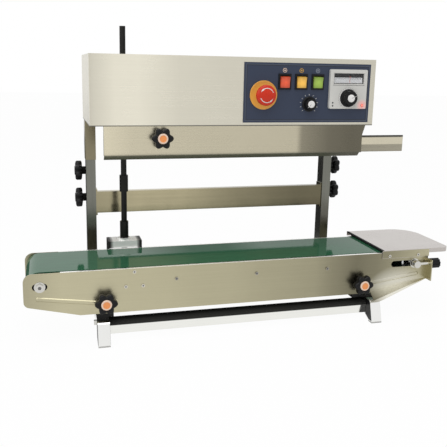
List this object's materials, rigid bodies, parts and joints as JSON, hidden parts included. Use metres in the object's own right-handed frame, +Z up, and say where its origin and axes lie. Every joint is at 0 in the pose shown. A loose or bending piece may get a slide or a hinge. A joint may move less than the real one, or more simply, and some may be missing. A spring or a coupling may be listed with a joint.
{
  "type": "vertical band sealer",
  "caption": "Benchtop vertical band sealer: a heated head with control panel and front guard on two posts over a flat belt conveyor with side plates, work table and star knobs.",
  "frame": {"origin": "on the floor, under the middle of the machine's box", "axes": "+X along the conveyor to the work table's end, +Y from the user to the posts, +Z up"},
  "size_m": [0.868, 0.336, 0.581],
  "materials": {
    "stainless": "brushed stainless sheet",
    "chrome": "bright plated steel",
    "dark_steel": "blackened steel",
    "zinc": "zinc plated steel",
    "aluminium": "bare cast aluminium",
    "belt_green": "glossy green belting",
    "black_rubber": "black rubber",
    "table_grey": "light grey satin",
    "black_plastic": "black moulded plastic",
    "grey_plastic": "light grey moulded plastic",
    "panel_blue": "slate blue panel film",
    "yellow_plastic": "yellow moulded plastic",
    "red_plastic": "red moulded plastic",
    "red_lens": "lit red lens",
    "amber_lens": "lit amber lens",
    "green_lens": "lit green lens",
    "clear_pane": "clear pane",
    "band_cloth": "coated glass cloth",
    "gear_nylon": "natural nylon"
  },
  "bodies": {
    "base": {"legs": "chrome", "rubber_feet": "black_rubber", "base_rails": "chrome", "clamp_brackets": "dark_steel", "posts": "stainless", "cross_bar": "stainless", "frame_bolts": "zinc"},
    "conveyor": {"front_side_plate": "stainless", "rear_side_plate": "stainless", "slider_bed": "zinc", "spreader_tubes": "zinc", "conveyor_fasteners": "zinc", "conveyor_belt": "belt_green", "work_table": "table_grey", "tail_axle": "zinc", "drive_bearings": "aluminium", "gear_bracket": "chrome"},
    "drive_roller": {"drive_roller": "black_rubber", "bevel_gear": "dark_steel"},
    "drive_shaft": {"drive_shaft": "dark_steel", "bevel_pinion": "dark_steel"},
    "tension": {"tension_axle": "zinc"},
    "head": {"head_housing": "stainless", "head_rear_cover": "stainless", "head_floor": "stainless", "head_slides": "stainless", "head_screws": "zinc", "power_inlet": "black_plastic", "gear_motor": "aluminium", "sealing_bands": "band_cloth", "sealing_blocks": "aluminium", "infeed_guide": "stainless", "control_panel": "panel_blue", "estop_collar": "yellow_plastic", "switch_bezels": "black_plastic", "temperature_controller": "grey_plastic", "controller_window": "clear_pane"},
    "tail_roller": {"tail_roller": "aluminium"},
    "idler_roller": {"idler_roller": "aluminium"},
    "front_tension_knob": {"front_tension_knob": "black_plastic"},
    "rear_tension_knob": {"rear_tension_knob": "black_plastic"},
    "left_conveyor_knob": {"left_conveyor_knob": "black_plastic"},
    "right_conveyor_knob": {"right_conveyor_knob": "black_plastic"},
    "left_upper_post_knob": {"left_upper_post_knob": "black_plastic"},
    "left_lower_post_knob": {"left_lower_post_knob": "black_plastic"},
    "right_upper_post_knob": {"right_upper_post_knob": "black_plastic"},
    "right_lower_post_knob": {"right_lower_post_knob": "black_plastic"},
    "shaft_gear": {"shaft_gear": "gear_nylon"},
    "guard_cover": {"guard_cover": "stainless"},
    "guard_knob": {"guard_knob": "black_plastic"},
    "front_drive_wheel": {"front_drive_wheel": "gear_nylon"},
    "rear_drive_wheel": {"rear_drive_wheel": "gear_nylon"},
    "front_idler_wheel": {"front_idler_wheel": "aluminium"},
    "rear_idler_wheel": {"rear_idler_wheel": "aluminium"},
    "estop_button": {"estop_button": "red_plastic"},
    "speed_knob": {"speed_knob": "black_plastic"},
    "temperature_knob": {"temperature_knob": "black_plastic"},
    "power_rocker": {"power_rocker": "red_lens"},
    "heat_rocker": {"heat_rocker": "amber_lens"},
    "fan_rocker": {"fan_rocker": "green_lens"}
  },
  "joints": [
    {"name": "conveyor_height", "type": "slide", "parent": "base", "child": "conveyor", "axis": [0, 0, 1], "range_m": [0, 0.02]},
    {"name": "head_height", "type": "slide", "parent": "base", "child": "head", "axis": [0, 0, 1], "range_m": [0, 0.05]},
    {"name": "drive_roller_spin", "type": "hinge", "parent": "conveyor", "child": "drive_roller", "pos_m": [-0.234, -0.062, 0.111], "axis": [0, 1, 0], "continuous": true},
    {"name": "tail_roller_spin", "type": "hinge", "parent": "conveyor", "child": "tail_roller", "pos_m": [-0.405, -0.062, 0.111], "axis": [0, 1, 0], "continuous": true},
    {"name": "idler_roller_spin", "type": "hinge", "parent": "tension", "child": "idler_roller", "pos_m": [0.354, -0.062, 0.111], "axis": [0, 1, 0], "continuous": true},
    {"name": "drive_shaft_spin", "type": "hinge", "parent": "conveyor", "child": "drive_shaft", "pos_m": [-0.234, 0.022, 0.137], "axis": [0, 0, 1], "continuous": true},
    {"name": "shaft_gear_spin", "type": "hinge", "parent": "head", "child": "shaft_gear", "pos_m": [-0.234, 0.022, 0.4015], "axis": [0, 0, 1], "continuous": true},
    {"name": "rear_drive_wheel_spin", "type": "hinge", "parent": "head", "child": "rear_drive_wheel", "pos_m": [-0.19838, -0.0055, 0.35], "axis": [0, 0, 1], "continuous": true},
    {"name": "front_drive_wheel_spin", "type": "hinge", "parent": "head", "child": "front_drive_wheel", "pos_m": [-0.19838, -0.0455, 0.35], "axis": [0, 0, 1], "continuous": true},
    {"name": "rear_idler_wheel_spin", "type": "hinge", "parent": "head", "child": "rear_idler_wheel", "pos_m": [0.166, -0.0055, 0.35], "axis": [0, 0, 1], "continuous": true},
    {"name": "front_idler_wheel_spin", "type": "hinge", "parent": "head", "child": "front_idler_wheel", "pos_m": [0.166, -0.0455, 0.35], "axis": [0, 0, 1], "continuous": true},
    {"name": "front_tension_turn", "type": "hinge", "parent": "conveyor", "child": "front_tension_knob", "pos_m": [0.395, -0.141, 0.111], "axis": [1, 0, 0], "range_deg": [-3600, 0]},
    {"name": "rear_tension_turn", "type": "hinge", "parent": "conveyor", "child": "rear_tension_knob", "pos_m": [0.395, 0.017, 0.111], "axis": [1, 0, 0], "range_deg": [-3600, 0]},
    {"name": "tension_slide", "type": "slide", "parent": "conveyor", "child": "tension", "axis": [1, 0, 0], "range_m": [-0.01, 0]},
    {"name": "left_conveyor_knob_turn", "type": "hinge", "parent": "conveyor", "child": "left_conveyor_knob", "pos_m": [-0.288, -0.142, 0.076], "axis": [0, -1, 0], "continuous": true},
    {"name": "right_conveyor_knob_turn", "type": "hinge", "parent": "conveyor", "child": "right_conveyor_knob", "pos_m": [0.231, -0.142, 0.076], "axis": [0, -1, 0], "continuous": true},
    {"name": "left_upper_post_knob_turn", "type": "hinge", "parent": "base", "child": "left_upper_post_knob", "pos_m": [-0.314, 0.121, 0.283], "axis": [-1, 0, 0], "continuous": true},
    {"name": "left_lower_post_knob_turn", "type": "hinge", "parent": "base", "child": "left_lower_post_knob", "pos_m": [-0.314, 0.121, 0.224], "axis": [-1, 0, 0], "continuous": true},
    {"name": "right_upper_post_knob_turn", "type": "hinge", "parent": "base", "child": "right_upper_post_knob", "pos_m": [0.275, 0.121, 0.283], "axis": [1, 0, 0], "continuous": true},
    {"name": "right_lower_post_knob_turn", "type": "hinge", "parent": "base", "child": "right_lower_post_knob", "pos_m": [0.275, 0.121, 0.224], "axis": [1, 0, 0], "continuous": true},
    {"name": "guard_pull", "type": "slide", "parent": "head", "child": "guard_cover", "axis": [0, -1, 0], "range_m": [0, 0.04]},
    {"name": "guard_knob_turn", "type": "hinge", "parent": "guard_cover", "child": "guard_knob", "pos_m": [-0.173, -0.069, 0.372], "axis": [0, -1, 0], "continuous": true},
    {"name": "estop_press", "type": "slide", "parent": "head", "child": "estop_button", "axis": [0, 1, 0], "range_m": [0, 0.006], "stiffness_N_per_m": 900},
    {"name": "power_rocker_tip", "type": "hinge", "parent": "head", "child": "power_rocker", "pos_m": [0.071, -0.0695, 0.4803], "axis": [1, 0, 0], "range_deg": [-16, 0]},
    {"name": "heat_rocker_tip", "type": "hinge", "parent": "head", "child": "heat_rocker", "pos_m": [0.1058, -0.0695, 0.4803], "axis": [1, 0, 0], "range_deg": [-16, 0]},
    {"name": "fan_rocker_tip", "type": "hinge", "parent": "head", "child": "fan_rocker", "pos_m": [0.1406, -0.0695, 0.4803], "axis": [1, 0, 0], "range_deg": [-16, 0]},
    {"name": "speed_turn", "type": "hinge", "parent": "head", "child": "speed_knob", "pos_m": [0.1243, -0.0735, 0.437], "axis": [0, -1, 0], "range_deg": [-135, 135]},
    {"name": "temperature_turn", "type": "hinge", "parent": "head", "child": "temperature_knob", "pos_m": [0.2056, -0.0805, 0.4495], "axis": [0, -1, 0], "range_deg": [-135, 135]}
  ],
  "couplings": [
    {"joint": "tail_roller_spin", "follows": "drive_roller_spin", "ratio": 1},
    {"joint": "idler_roller_spin", "follows": "drive_roller_spin", "ratio": 1},
    {"joint": "drive_shaft_spin", "follows": "drive_roller_spin", "ratio": -1},
    {"joint": "shaft_gear_spin", "follows": "drive_roller_spin", "ratio": -1},
    {"joint": "rear_drive_wheel_spin", "follows": "drive_roller_spin", "ratio": 1.25},
    {"joint": "front_drive_wheel_spin", "follows": "drive_roller_spin", "ratio": -1.25},
    {"joint": "rear_idler_wheel_spin", "follows": "drive_roller_spin", "ratio": 1.25},
    {"joint": "front_idler_wheel_spin", "follows": "drive_roller_spin", "ratio": -1.25},
    {"joint": "front_tension_turn", "follows": "tension_slide", "rad_per_m": 6283.2},
    {"joint": "rear_tension_turn", "follows": "tension_slide", "rad_per_m": 6283.2}
  ]
}
